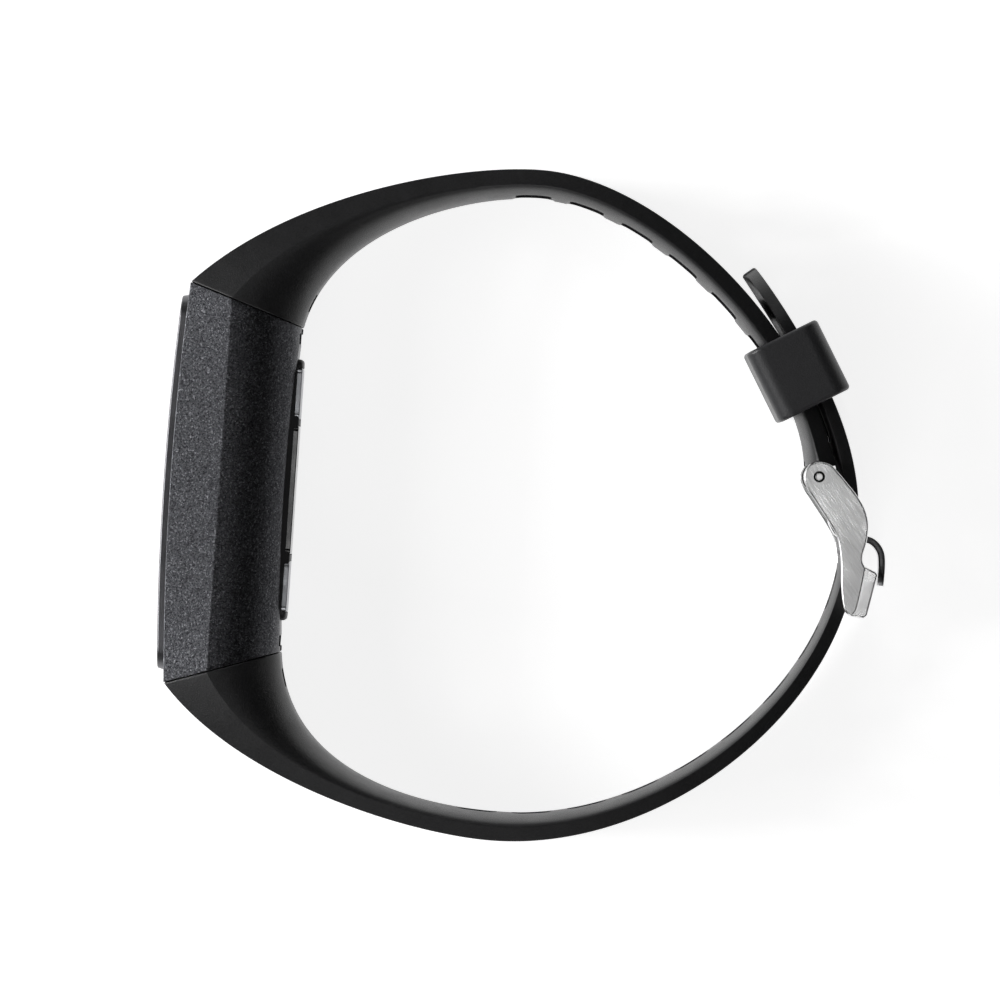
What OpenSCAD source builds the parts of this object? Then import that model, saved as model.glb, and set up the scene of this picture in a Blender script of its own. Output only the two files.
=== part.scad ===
// Fitness tracker band, fastened and lying on its side.
// X runs from the screen to the buckle, Y along the tracker, Z across the band's width.
// The origin is at the middle of the lower side, so the band's middle plane is at z = half_w.

/* [Tracker body] */
// Half of the greatest width, measured at the case's side crease
half_w = 9.25; // [9.15:0.05:9.4]
// Case thickness from the front corner to the back
case_t = 11.65; // [11.55:0.05:11.75]
// Depth of the side crease behind the front corner
crease_d = 4.4; // [4.2:0.1:4.6]
// How far the front bows out at its middle
front_bow = 0.7; // [0.4:0.1:0.9]
// How far the back is hollowed at its middle
back_hollow = 0.7; // [0.4:0.1:0.8]
// How far the cover glass stands proud of the case
glass_proud = 0.7; // [0.5:0.1:0.8]
// Half width of the flat strip along the back
back_flat = 4; // [3.9:0.05:4.1]

/* [Straps] */
// Strap thickness at mid length
strap_t = 2.8; // [2.7:0.05:2.8]
// Thickness of the buckle's strap at its pin
upper_end_t = 3.15; // [3:0.05:3.15]
// Thickness of the tail's strap at the buckle
end_t = 1.65; // [1.6:0.05:1.65]
// Strap thickness at the free tip
tip_t = 1.6; // [1.5:0.05:1.6]
// Half of the strap's width at the buckle
strap_end_w = 7.9; // [7.6:0.1:7.9]
// Length of one slot along the strap
slot_l = 3.7; // [3.5:0.1:3.8]
// Width across the strap of a slot that the tang can enter
slot_w = 5.4; // [5.2:0.1:5.6]
// Width across the strap of a vent slot in the buckle's strap
vent_w = 11; // [10:0.2:11.2]
// Distance from one slot to the next
slot_pitch = 6; // [5.9:0.05:6.1]

/* [Keeper and buckle] */
// Keeper length along the strap
keeper_l = 7.9; // [7.4:0.1:8]
// Thickness of the buckle's side plates
plate_t = 1.1; // [1:0.05:1.1]
// Radius of the buckle pin
pin_r = 0.6; // [0.5:0.05:0.6]
// Width of the tang
tang_w = 4.6; // [4.2:0.1:4.6]
// Thickness of the tang
tang_t = 0.7; // [0.6:0.05:0.7]

/* [Release latches] */
// Travel of each release button
button_travel = 0.6; // [0.5:0.05:0.6]
// Running clearance around moving pieces
clear = 0.06; // [0.05:0.01:0.08]

/* [Hidden] */
$fn = 64;

// ---- Case: places along X, and the slanted ends ----
front_x = -35.8;
back_x = front_x + case_t;
front_half_l = 20.5;
back_half_l = 16.6;
end_slope = (front_half_l - back_half_l) / case_t;
end_gap = 0.12;
crease_w = half_w;
face_w = half_w - 1.35;
arc_steps = 6;
// Facets of a full circle for the long shallow arcs of the case's front and back
arc_fn = 1200;
bow_steps = 12;
function bow_r(half_l, rise) = (half_l * half_l + rise * rise) / (2 * rise);
front_r = bow_r(front_half_l, front_bow);
hollow_r = bow_r(back_half_l, back_hollow);
function end_y(x) = front_half_l - (x - front_x) * end_slope;

// ---- Case: cavity and seats ----
cavity_l = 14.3;
cavity_w = 7;
cavity_step_x = front_x + 8.5;
back_cavity_w = 4.8;
back_cavity_l = 12.4;
glass_half_l = 19.3;
glass_half_w = 7.5;
glass_r = 2.4;
glass_back_x = front_x + 0.15;
adhesive_t = 0.15;
glass_seat_x = glass_back_x + adhesive_t;
// Overshoot that makes a cut clean
cut = 0.1;
// Beyond the object on every side, for cuts right through it
reach = 20;

// ---- Stack inside the tracker, from the glass to the back ----
panel_half_l = cavity_l - 1.4;
panel_half_w = cavity_w - 1.2;
panel_back_x = glass_back_x + 1.1;
frame_back_x = panel_back_x + 0.8;
board_back_x = frame_back_x + 0.8;
chip_t = 1;
battery_x = board_back_x + 1.3;
battery_t = 3.6;
battery_y = [-7.6, 11.8];
battery_w = 6.4;
film_t = 0.15;
sensor_board_x = cavity_step_x + 0.1;
sensor_board_t = 0.5;
diode_t = 0.6;
// Each chip or diode: place in Y and Z, then half sizes in Y and Z
chips = [[8, 0, 3, 3], [1.5, -2.2, 2.2, 2.2], [1.8, 3, 1.4, 1.6], [-4.2, 1.6, 1.8, 2.4],
    [-8.6, -2.4, 1.5, 1.5]];
diodes = [[0, 0, 1, 1], [3.2, 0, 0.7, 0.7], [-3.2, 0, 0.7, 0.7], [0, 2.8, 0.8, 0.8], [0, -2.8, 0.8, 0.8]];

// ---- Screws and their bosses ----
boss_y = 13.2;
boss_z = 5.9;
boss_r = 1.15;
screw_r = 0.45;
screw_l = 4.4;
head_r = 0.7;
head_t = 0.35;
thread_gap = 0.02;

// ---- Vibration motor ----
motor_at = [cavity_step_x - 2.5, -10.2];
motor_r = 2;
can_low = -4.8;
can_l = 6.4;
shaft_r = 0.35;
shaft_low = 0.7;
shaft_l = 4.2;
weight_low = 2;
weight_l = 2.8;
weight_r = motor_r - 0.15;

// ---- Raised back with its window and contacts ----
pad_seat_x = front_x + 10.2;
pad_half_l = 13.4;
pad_half_w = 5.4;
pad_r = 2;
pad_face_x = back_x + 0.35;
gasket_t = 0.2;
// The window and contacts reach just past the sides of the raised back
inlay_w = pad_half_w + 0.05;
inlay_r = 0.6;
inlay_t = 0.5;
window_half_l = 6.6;
contact_y = 9.9;
contact_half_l = 2.6;

// ---- Connector between case and strap ----
groove_y = 15;
head_w = 5.1;
head_l = 1;
neck_w = 4.3;
tongue_front_x = front_x + 3.4;
tongue_back_x = back_x - 0.4;
anchor_y = 21.4;

// ---- Latch: a bent leaf whose nub holds the case, turned by the button's stem ----
leaf_t = 0.2;
leaf_w = 1.5;
leaf_x = -29;
leaf_y = groove_y + 0.1;
nub_x = -26.8;
nub_half_l = 0.6;
nub_t = 0.3;
leaf_room = 0.75;
button_y = 19.3;
button_half_l = 0.8;
button_w = 3.6;
button_r = 0.7;
button_face_x = back_x - 0.1;
button_t = 1;
button_back_x = button_face_x - button_t;
stem_x = leaf_x + leaf_t / 2 + 0.05;
stem_w = 1.4;
stem_half_l = 0.4;
leaf_front_x = stem_x - button_travel - cut;
foot_t = 0.3;
foot_half_l = 0.7;

// ---- Strap outlines: each curve is four points of a cubic ----
crown_y = 34.35;
inside_y = crown_y - strap_t;
upper_root_out = [[front_x, front_half_l], [-26.2, 30.35], [-9.2, crown_y], [-1, crown_y]];
upper_root_in = [[back_x, back_half_l], [-22.1, 27], [-8.6, inside_y], [-1, inside_y]];
upper_end_in = [[-1, inside_y], [11.25, inside_y], [27.35, 16.1], [28.2, 6]];
lower_root_out = [[front_x, -front_half_l], [-27.4, -30.3], [-9.2, -crown_y], [-1, -crown_y]];
lower_root_in = [[back_x, -back_half_l], [-23, -29], [-9.1, -inside_y], [-1, -inside_y]];
lower_end_out = [[-1, -crown_y], [16.6, -crown_y], [34.1, -18.4], [34.1, -2]];
tail_out = [[34.1, -2], [34.1, 5.9], [32.4, 12.6], [21.8, 26]];
root_steps = 14;
end_steps = 14;
tail_steps = 16;
tip_part = 0.16;

inner_flat = 1.2;
// The buckle's strap thins by this much on its way to the pin, where it swells to hold the barrel
upper_thin = 0.65;
// The higher this is, the closer to the pin the swelling starts
swell = 14;
strap_mid_w = 8.7;
first_upper_slot = 33.15;
upper_slots = 6;
buckled_slot = 85.9;
lower_slots_before = 9;
lower_slots_after = 3;
slot_r = 0.8;

// ---- Buckle ----
pin_at = [29.6, 5];
tip_r = 0.32;
barrel_r = 1.5;
ring_r = 1.2;
plate_in = strap_end_w + 0.2;
plate_out = plate_in + plate_t;
// Each plate is a chain of round-ended links: [place, radius]
plate_chain = [[pin_at, 1.58], [[33, 1.35], 1.72], [[33.55, -4], 1.15], [[34.3, -8.1], 0.98]];
bar_corners = [[34.95, -4.15], [35.85, -4.65], [35.1, -8.85], [34.3, -8.65]];
bar_r = 0.25;
pin_dimple_r = 0.58;
pin_dimple_t = 0.75;
// The tang runs under the tail, turns out through its slot and rests on the bar
tang_path = [[29.9, 4], [31.05, 2], [31.45, 0.4], [32.35, -0.75], [35, -0.9], [36.2, -1.6], [36.8, -3],
    [36.8, -5.7]];

// ---- Keeper: its own frame has X out of the wrist and Y across the strap ----
keeper_at = [27.15, 15.88];
keeper_turn = 30.25;
keeper_in = -4.5;
keeper_out = 3.55;
keeper_hole_in = -3.25;
keeper_hole_out = 1.7;
keeper_hole_w = strap_end_w + 0.35;
keeper_r = 1.8;
keeper_hole_r = 0.4;

// ---- Shared shapes ----
module lift() translate([0, 0, half_w]) children();

// A box given by its low and high X and Y, and its half width in Z
module slab(x0, x1, y0, y1, w) translate([x0, y0, -w]) cube([x1 - x0, y1 - y0, 2 * w]);

// A box on Y = 0, given by its low and high X, half length and half width, with round corners
module pad(x0, x1, l, w, r)
    translate([x0, 0, 0]) rotate([0, 90, 0]) linear_extrude(x1 - x0) round_square([2 * w, 2 * l], r);

// A rounded box given by its X and Y limits and half width
module pad_from(x0, x1, y0, y1, w, r) translate([0, (y0 + y1) / 2, 0]) pad(x0, x1, (y1 - y0) / 2, w, r);

// A box given by its X limits, the place of its middle in Y and Z, and its half sizes
module slab_at(x0, x1, y, z, half_l, half_z)
    translate([0, 0, z]) slab(x0, x1, y - half_l, y + half_l, half_z);

// A rectangle with round corners
module round_square(size, r) union() {
    square([size[0], size[1] - 2 * r], center = true);
    square([size[0] - 2 * r, size[1]], center = true);
    for (a = [-1, 1], b = [-1, 1]) translate([a * (size[0] / 2 - r), b * (size[1] / 2 - r)]) circle(r);
}

// Whatever is drawn for the upper end, turned over for the lower one when s is -1
module at_end(s) mirror([0, s < 0 ? 1 : 0, 0]) children();

// ---- Cross-section shared by the case and the straps ----
// Points are [share of the thickness from outside to inside, place across the width].
function half_section(crease, w_face, w_crease, w_flat) = concat(
    [[0, w_face]],
    [for (k = [0 : arc_steps]) [crease + (1 - crease) * sin(90 * k / arc_steps),
        w_flat + (w_crease - w_flat) * cos(90 * k / arc_steps)]]);
function mirrored(p) = [for (k = [len(p) - 1 : -1 : 0]) [p[k][0], -p[k][1]]];
function section(crease, w_face, w_crease, w_flat) =
    let (h = half_section(crease, w_face, w_crease, w_flat)) concat(h, mirrored(h));

// ---- Case ----
// The solid outer form of the case, straight along Y, with bowed front and hollowed back
module case_form() {
    profile = [for (p = section(crease_d / case_t, face_w, crease_w, back_flat))
        [front_x - front_bow + p[0] * case_t + (p[0] > 0 ? front_bow : 0), p[1]]];
    intersection() {
        rotate([-90, 0, 0]) translate([0, 0, -25]) linear_extrude(50)
            polygon([for (p = profile) [p[0], -p[1]]]);
        translate([0, 0, -half_w - 1]) linear_extrude(2 * half_w + 2) difference() {
            intersection() {
                polygon([[front_x - 2, end_y(front_x - 2)], [back_x + 1, end_y(back_x + 1)],
                    [back_x + 1, -end_y(back_x + 1)], [front_x - 2, -end_y(front_x - 2)]]);
                translate([front_x - front_bow + front_r, 0]) circle(front_r, $fn = arc_fn);
            }
            translate([back_x - back_hollow + hollow_r, 0]) circle(hollow_r, $fn = arc_fn);
        }
    }
}

// The T-shaped groove at one end, open at the back, that the connector slides in
module end_groove(s) at_end(s) {
    slab(tongue_front_x - clear, back_x + 1, groove_y - clear, groove_y + head_l + clear, head_w + clear);
    slab(tongue_front_x - clear, back_x + 1, groove_y, anchor_y, neck_w + clear);
    slab(nub_x - nub_half_l - clear, nub_x + nub_half_l + clear, groove_y - nub_t - cut, groove_y,
        leaf_w + cut);
}

// Whatever is drawn along +Z, stood on X at the four screw places
module at_bosses(x) for (a = [-1, 1], b = [-1, 1])
    translate([x, a * boss_y, b * boss_z]) rotate([0, 90, 0]) children();

module case_shell() lift() color([0.16, 0.16, 0.17]) difference() {
    union() {
        difference() {
            case_form();
            slab(front_x - 2, cavity_step_x, -cavity_l, cavity_l, cavity_w);
            slab(cavity_step_x - 1, pad_seat_x + cut, -back_cavity_l, back_cavity_l, back_cavity_w);
        }
        at_bosses(board_back_x) cylinder(r = boss_r, h = cavity_step_x + cut - board_back_x);
    }
    slab(front_x - 2, glass_seat_x, -glass_half_l - clear, glass_half_l + clear, glass_half_w + clear);
    pad(pad_seat_x, back_x + 2, pad_half_l + thread_gap, pad_half_w + thread_gap, pad_r);
    for (s = [-1, 1]) end_groove(s);
    at_bosses(board_back_x - cut) cylinder(r = screw_r + thread_gap, h = screw_l - 1);
}

// Points of a shallow bow along Y, `rise` proud at its middle
function bow_points(x, half_l, rise) = [for (k = [-bow_steps : bow_steps])
    let (share = k / bow_steps) [x - rise * (1 - share * share), half_l * share]];

module cover_glass() lift() color([0.03, 0.03, 0.035]) intersection() {
    pad(front_x - 2, glass_back_x, glass_half_l, glass_half_w, glass_r);
    translate([0, 0, -half_w]) linear_extrude(2 * half_w) polygon(concat(
        bow_points(front_x - glass_proud, front_half_l, front_bow),
        [[glass_back_x, front_half_l], [glass_back_x, -front_half_l]]));
}

// ---- Pieces inside the tracker ----
module display_adhesive() lift() color("dimgray") difference() {
    pad(glass_back_x, glass_seat_x, glass_half_l - 0.05, glass_half_w - 0.05, glass_r);
    slab(glass_back_x - 1, glass_seat_x + 1, -cavity_l, cavity_l, cavity_w);
}

module display_panel() lift() color([0.05, 0.05, 0.08])
    pad(glass_back_x, panel_back_x, panel_half_l, panel_half_w, 0.5);

module screw_holes() at_bosses(front_x) cylinder(r = screw_r + clear, h = 12);

// Two windows leave a rim and one cross rib; the screw heads are sunk in its front
module midframe() lift() color("gray") difference() {
    slab(panel_back_x, frame_back_x, 0.2 - cavity_l, cavity_l - 0.2, cavity_w - 0.1);
    for (y = [-6.4, 6.4]) slab_at(panel_back_x - 1, frame_back_x + 1, y, 0, 4.8, 4.6);
    screw_holes();
    at_bosses(panel_back_x - 1) cylinder(r = head_r + clear, h = 1 + head_t + thread_gap);
}

module main_board() lift() color("darkgreen") difference() {
    slab(frame_back_x, board_back_x, 0.3 - cavity_l, cavity_l - 0.3, cavity_w - 0.3);
    screw_holes();
}

module board_chips() lift() color([0.1, 0.1, 0.1]) for (c = chips)
    slab_at(board_back_x, board_back_x + chip_t, c[0], c[1], c[2], c[3]);

// A film from the panel's end, turned back past the midframe to the board
module display_flex() lift() color("peru") union() {
    slab(panel_back_x - 0.6, panel_back_x - 0.6 + film_t, panel_half_l, cavity_l - 0.04, 3);
    slab(panel_back_x - 0.6, frame_back_x + 0.5, cavity_l - 0.04 - film_t, cavity_l - 0.04, 3);
}

module battery() lift() color("silver")
    pad_from(battery_x, battery_x + battery_t, battery_y[0], battery_y[1], battery_w, 0.8);

module battery_lead() lift() color("peru")
    slab(board_back_x, battery_x + 1.6, battery_y[1], battery_y[1] + film_t, 1.6);

// A strip along the far end wall, bent from one piece with an open middle
module antenna() lift() color("goldenrod") difference() {
    slab(board_back_x, cavity_step_x - 1, 1 - cavity_l, 1 - cavity_l + film_t, 4.6);
    slab(board_back_x + 1.4, cavity_step_x - 2.4, 0.9 - cavity_l, 1.3 - cavity_l, 2.6);
}

module frame_screws() lift() color("silver") at_bosses(panel_back_x + thread_gap) difference() {
    union() {
        cylinder(r = head_r, h = head_t);
        cylinder(r = screw_r, h = screw_l);
    }
    translate([0, 0, -cut]) cylinder(r = 0.3, h = cut + 0.2, $fn = 6);
}

module motor_can() lift() color("silver") translate([motor_at[0], motor_at[1], can_low]) difference() {
    cylinder(r = motor_r, h = can_l);
    translate([0, 0, shaft_low - can_low - cut]) cylinder(r = shaft_r + 0.05, h = can_l);
}

// Shaft and half-round eccentric weight, turning as one
module motor_rotor() lift() color("darkgray") translate([motor_at[0], motor_at[1], 0]) union() {
    translate([0, 0, shaft_low]) cylinder(r = shaft_r, h = shaft_l);
    translate([0, 0, weight_low]) intersection() {
        cylinder(r = weight_r, h = weight_l);
        translate([-motor_r, -motor_r, 0]) cube([2 * motor_r, motor_r + 0.4, weight_l]);
    }
}

module sensor_board() lift() color("darkgreen")
    slab(sensor_board_x, sensor_board_x + sensor_board_t, 0.2 - back_cavity_l, back_cavity_l - 0.2,
        back_cavity_w - 0.2);

module sensor_diodes() lift() color("lightgreen") for (d = diodes)
    slab_at(sensor_board_x + sensor_board_t, sensor_board_x + sensor_board_t + diode_t,
        d[0], d[1], d[2], d[3]);

// A plate let into the raised back's face; `y` is its middle
module inlay(y, x1, half_l) translate([0, y, 0]) pad(pad_face_x - inlay_t, x1, half_l, inlay_w, inlay_r);

// Raised back cover that carries the sensor window and the contacts
module sensor_base() lift() color([0.06, 0.06, 0.06]) difference() {
    pad(pad_seat_x + gasket_t, pad_face_x, pad_half_l, pad_half_w, pad_r);
    pad(pad_seat_x, pad_face_x, window_half_l - 0.6, inlay_w - 0.8, 0.5);
    inlay(0, pad_face_x + 1, window_half_l);
    for (s = [-1, 1]) inlay(s * contact_y, pad_face_x + 1, contact_half_l);
}

module back_gasket() lift() color("dimgray") difference() {
    pad(pad_seat_x, pad_seat_x + gasket_t, pad_half_l - 0.1, pad_half_w - 0.1, pad_r - 0.1);
    slab(pad_seat_x - 1, pad_seat_x + 1, -back_cavity_l, back_cavity_l, back_cavity_w);
}

module sensor_window() lift() color([0.2, 0.2, 0.22]) inlay(0, pad_face_x, window_half_l);

module contact_pads() lift() color("silver") for (s = [-1, 1])
    inlay(s * contact_y, pad_face_x, contact_half_l);

// ---- Strap lofts ----
function cubic(p, t) = pow(1 - t, 3) * p[0] + 3 * pow(1 - t, 2) * t * p[1]
    + 3 * (1 - t) * t * t * p[2] + pow(t, 3) * p[3];
function cubic_slope(p, t) = pow(1 - t, 2) * (p[1] - p[0]) + 2 * (1 - t) * t * (p[2] - p[1])
    + t * t * (p[3] - p[2]);
function unit(v) = v / norm(v);
function left_of(v) = [-v[1], v[0]];

// A rib is [outer point, inner point, crease half width, flat half width]
function root_ribs(out, inn, w_end) = [for (k = [0 : root_steps]) let (t = k / root_steps)
    [cubic(out, t), cubic(inn, t), half_w + (w_end - half_w) * t, back_flat + (inner_flat - back_flat) * t]];
// Ribs along one curve; the other face lies a thickness away, on the side that `side` gives
function offset_rib(p, t, side, thick) = cubic(p, t) + side * thick * left_of(unit(cubic_slope(p, t)));

function upper_thick(t) = strap_t - upper_thin * t * t
    + (upper_end_t - strap_t + upper_thin) * pow(t, swell);
function upper_ribs() = concat(
    root_ribs(upper_root_out, upper_root_in, strap_mid_w),
    [for (k = [1 : end_steps]) let (t = k / end_steps, thick = upper_thick(t))
        [offset_rib(upper_end_in, t, 1, thick), cubic(upper_end_in, t),
            strap_mid_w + (strap_end_w - strap_mid_w) * t, inner_flat]]);
function tip_round(t) = t < 1 - tip_part ? 1 : sqrt(max(0.12, 1 - pow((t - 1 + tip_part) / tip_part, 2)));
function lower_ribs() = concat(
    root_ribs(lower_root_out, lower_root_in, strap_mid_w),
    [for (k = [1 : end_steps]) let (t = k / end_steps, thick = strap_t + (end_t - strap_t) * t)
        [cubic(lower_end_out, t), offset_rib(lower_end_out, t, 1, thick),
            strap_mid_w + (strap_end_w - strap_mid_w) * t, inner_flat]],
    [for (k = [1 : tail_steps]) let (t = k / tail_steps, thick = end_t + (tip_t - end_t) * t)
        [cubic(tail_out, t), offset_rib(tail_out, t, 1, thick),
            strap_end_w * tip_round(t), inner_flat * tip_round(t)]]);

// One rib's ring of points in space. The crease depth grows with the thickness.
function rib_ring(r) = let (thick = norm(r[1] - r[0]), depth = 0.62 + 0.32 * thick)
    [for (p = section(depth / thick, r[2] - 0.3 * depth, r[2], r[3]))
        let (q = r[0] + (r[1] - r[0]) * p[0]) [q[0], q[1], p[1]]];

module loft(ribs, flip) {
    rings = [for (r = ribs) rib_ring(r)];
    n = len(rings[0]);
    last = len(rings) - 1;
    points = [for (ring = rings, p = ring) p];
    sides = [for (i = [0 : last - 1], j = [0 : n - 1]) let (a = i * n + j, b = i * n + (j + 1) % n)
        each [[a, b, b + n], [a, b + n, a + n]]];
    caps = [[for (j = [n - 1 : -1 : 0]) j], [for (j = [0 : n - 1]) last * n + j]];
    faces = concat(sides, caps);
    polyhedron(points, flip ? [for (f = faces) [for (k = [len(f) - 1 : -1 : 0]) f[k]]] : faces);
}

// ---- Slots, placed by distance along the ribs ----
function middle(r) = (r[0] + r[1]) / 2;
function run_lengths(ribs, i = 0, sum = 0) = i >= len(ribs) ? []
    : concat([sum], run_lengths(ribs, i + 1,
        i + 1 < len(ribs) ? sum + norm(middle(ribs[i + 1]) - middle(ribs[i])) : sum));
function rib_after(runs, d) = [for (i = [1 : len(runs) - 1]) if (runs[i] >= d) i][0];

module slot_at(ribs, runs, d, w) {
    i = rib_after(runs, d);
    share = (d - runs[i - 1]) / (runs[i] - runs[i - 1]);
    at = middle(ribs[i - 1]) * (1 - share) + middle(ribs[i]) * share;
    along = middle(ribs[i]) - middle(ribs[i - 1]);
    translate([at[0], at[1], 0]) rotate([0, 0, atan2(along[1], along[0])]) rotate([90, 0, 0])
        translate([0, 0, -3]) linear_extrude(6) round_square([slot_l, w], slot_r);
}

// ---- What is cut out of each strap root ----
module button_pocket() slab(button_back_x - button_travel - clear, button_face_x + 3,
    button_y - button_half_l - clear, button_y + button_half_l + clear, button_w + clear);

module connector_seat(s) at_end(s) {
    slab(tongue_front_x, tongue_back_x, groove_y, anchor_y, neck_w);
    button_pocket();
}

// Shaves the strap root back from the slanted case end by the parting gap
module end_clearance(s) at_end(s) translate([0, 0, -half_w - 1])
    linear_extrude(2 * half_w + 2) polygon([[front_x - 3, end_y(front_x - 3) + end_gap],
        [back_x + 3, end_y(back_x + 3) + end_gap], [back_x + 3, 0], [front_x - 3, 0]]);

module at_pin(z) translate([pin_at[0], pin_at[1], z]) children();

module upper_strap() lift() color([0.1, 0.1, 0.11]) difference() {
    ribs = upper_ribs();
    runs = run_lengths(ribs);
    union() {
        difference() {
            loft(ribs, true);
            for (k = [0 : upper_slots - 1]) slot_at(ribs, runs, first_upper_slot + k * slot_pitch, vent_w);
            connector_seat(1);
            end_clearance(1);
        }
        at_pin(-strap_end_w) cylinder(r = barrel_r, h = 2 * strap_end_w);
    }
    at_pin(-strap_end_w - 1) cylinder(r = pin_r, h = 2 * strap_end_w + 2);
    at_pin(0) slab(-3, 3, -2.5, ring_r + 0.3, tang_w / 2 + 0.2);
}

module lower_strap() lift() color([0.1, 0.1, 0.11]) difference() {
    ribs = lower_ribs();
    runs = run_lengths(ribs);
    loft(ribs, false);
    for (k = [-lower_slots_before : lower_slots_after])
        slot_at(ribs, runs, buckled_slot + k * slot_pitch, slot_w);
    connector_seat(-1);
    end_clearance(-1);
}

// ---- Connectors, latch springs and release buttons ----
module connector(s) lift() color([0.3, 0.3, 0.32]) at_end(s) difference() {
    union() {
        slab(tongue_front_x, tongue_back_x, groove_y, anchor_y, neck_w);
        slab(tongue_front_x, tongue_back_x, groove_y, groove_y + head_l, head_w);
    }
    // Room for the leaf's arm and nub, then its crank, then the stem
    slab(tongue_front_x + 1, nub_x + nub_half_l + cut, groove_y - 1, groove_y + leaf_room, leaf_w + 0.2);
    slab(leaf_front_x, stem_x + foot_t + clear, groove_y - 1, button_y + 0.9, leaf_w + 0.2);
    slab(leaf_front_x, tongue_back_x + 1, button_y - stem_half_l - clear, button_y + stem_half_l + clear,
        stem_w + clear);
    button_pocket();
}
module upper_connector() connector(1);
module lower_connector() connector(-1);

module latch_spring(s) lift() color("silver") at_end(s) union() {
    slab(tongue_front_x + 1.1, nub_x + nub_half_l, leaf_y, leaf_y + leaf_t, leaf_w);
    slab(nub_x - nub_half_l, nub_x + nub_half_l, groove_y - nub_t, leaf_y + leaf_t / 2, leaf_w);
    slab(leaf_x - leaf_t / 2, leaf_x + leaf_t / 2, leaf_y, button_y + button_half_l, leaf_w);
}
module upper_latch_spring() latch_spring(1);
module lower_latch_spring() latch_spring(-1);

// A cap in the strap's pocket, a stem through the connector and a foot that keeps it in
module latch_button(s) lift() color([0.12, 0.12, 0.12]) at_end(s) union() {
    translate([0, button_y, 0]) pad(button_back_x, button_face_x, button_half_l, button_w, button_r);
    slab(stem_x, button_back_x, button_y - stem_half_l, button_y + stem_half_l, stem_w);
    slab(stem_x, stem_x + foot_t, button_y - foot_half_l, button_y + foot_half_l, stem_w);
}
module upper_latch_button() latch_button(1);
module lower_latch_button() latch_button(-1);

// ---- Keeper: a rounded sleeve around both straps ----
module round_block(x0, x1, w, r, l)
    linear_extrude(l) translate([(x0 + x1) / 2, 0]) round_square([x1 - x0, 2 * w], r);

module keeper_loop() lift() color([0.12, 0.12, 0.13]) translate([keeper_at[0], keeper_at[1], 0])
    rotate([0, 0, keeper_turn]) rotate([90, 0, 0]) translate([0, 0, -keeper_l / 2]) difference() {
        round_block(keeper_in, keeper_out, half_w, keeper_r, keeper_l);
        translate([0, 0, -1])
            round_block(keeper_hole_in, keeper_hole_out, keeper_hole_w, keeper_hole_r, keeper_l + 2);
    }

// ---- Buckle ----
module buckle_pin() lift() color("silver") union() {
    at_pin(-strap_end_w) cylinder(r = pin_r, h = 2 * strap_end_w);
    at_pin(cut - plate_out) cylinder(r = tip_r, h = 2 * (plate_out - cut));
}

module link(a, b) hull() {
    translate(a[0]) circle(a[1], $fn = 32);
    translate(b[0]) circle(b[1], $fn = 32);
}
module bar_outline() hull() for (p = bar_corners) translate(p) circle(bar_r, $fn = 24);
module plate_outline() union() {
    for (k = [0 : len(plate_chain) - 2]) link(plate_chain[k], plate_chain[k + 1]);
    bar_outline();
}

module buckle_frame() lift() color([0.78, 0.78, 0.78]) difference() {
    union() {
        difference() {
            translate([0, 0, -plate_out]) linear_extrude(2 * plate_out) plate_outline();
            at_pin(0) slab(-reach, reach, -reach, reach, plate_in);
        }
        translate([0, 0, -plate_in - cut]) linear_extrude(2 * (plate_in + cut)) bar_outline();
    }
    at_pin(-half_w - 1) cylinder(r = tip_r + 0.04, h = 2 * half_w + 2);
    for (s = [-1, 1]) at_pin(s * plate_out - pin_dimple_t)
        cylinder(r = pin_dimple_r, h = 2 * pin_dimple_t);
}

module tang_leg(a, b) linear_extrude(tang_w) let (d = unit(b - a) * tang_t / 2, s = left_of(d))
    polygon([a - d * 0.4 - s, b + d * 0.4 - s, b + d * 0.4 + s, a - d * 0.4 + s]);
module buckle_tang() lift() color([0.7, 0.7, 0.7]) translate([0, 0, -tang_w / 2]) difference() {
    union() {
        at_pin(0) cylinder(r = ring_r, h = tang_w);
        for (k = [0 : len(tang_path) - 2]) tang_leg(tang_path[k], tang_path[k + 1]);
    }
    at_pin(-1) cylinder(r = pin_r + 0.05, h = tang_w + 2);
}

case_shell();
cover_glass();
display_adhesive();
display_panel();
midframe();
main_board();
board_chips();
display_flex();
battery();
battery_lead();
antenna();
frame_screws();
motor_can();
motor_rotor();
sensor_board();
sensor_diodes();
sensor_base();
back_gasket();
sensor_window();
contact_pads();
upper_strap();
lower_strap();
upper_connector();
lower_connector();
upper_latch_spring();
lower_latch_spring();
upper_latch_button();
lower_latch_button();
keeper_loop();
buckle_pin();
buckle_frame();
buckle_tang();
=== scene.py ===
"""The looks of the fitness tracker band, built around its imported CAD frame.

Lengths in this file are in millimetres until the `world` function turns them into metres.
X runs from the screen to the buckle, Y along the tracker and Z across the band's width.
Shapes are drawn around the band's middle plane, and `world` raises them by half the width.
"""
import math

import bmesh
import bpy
from mathutils import Matrix, Vector

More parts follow.
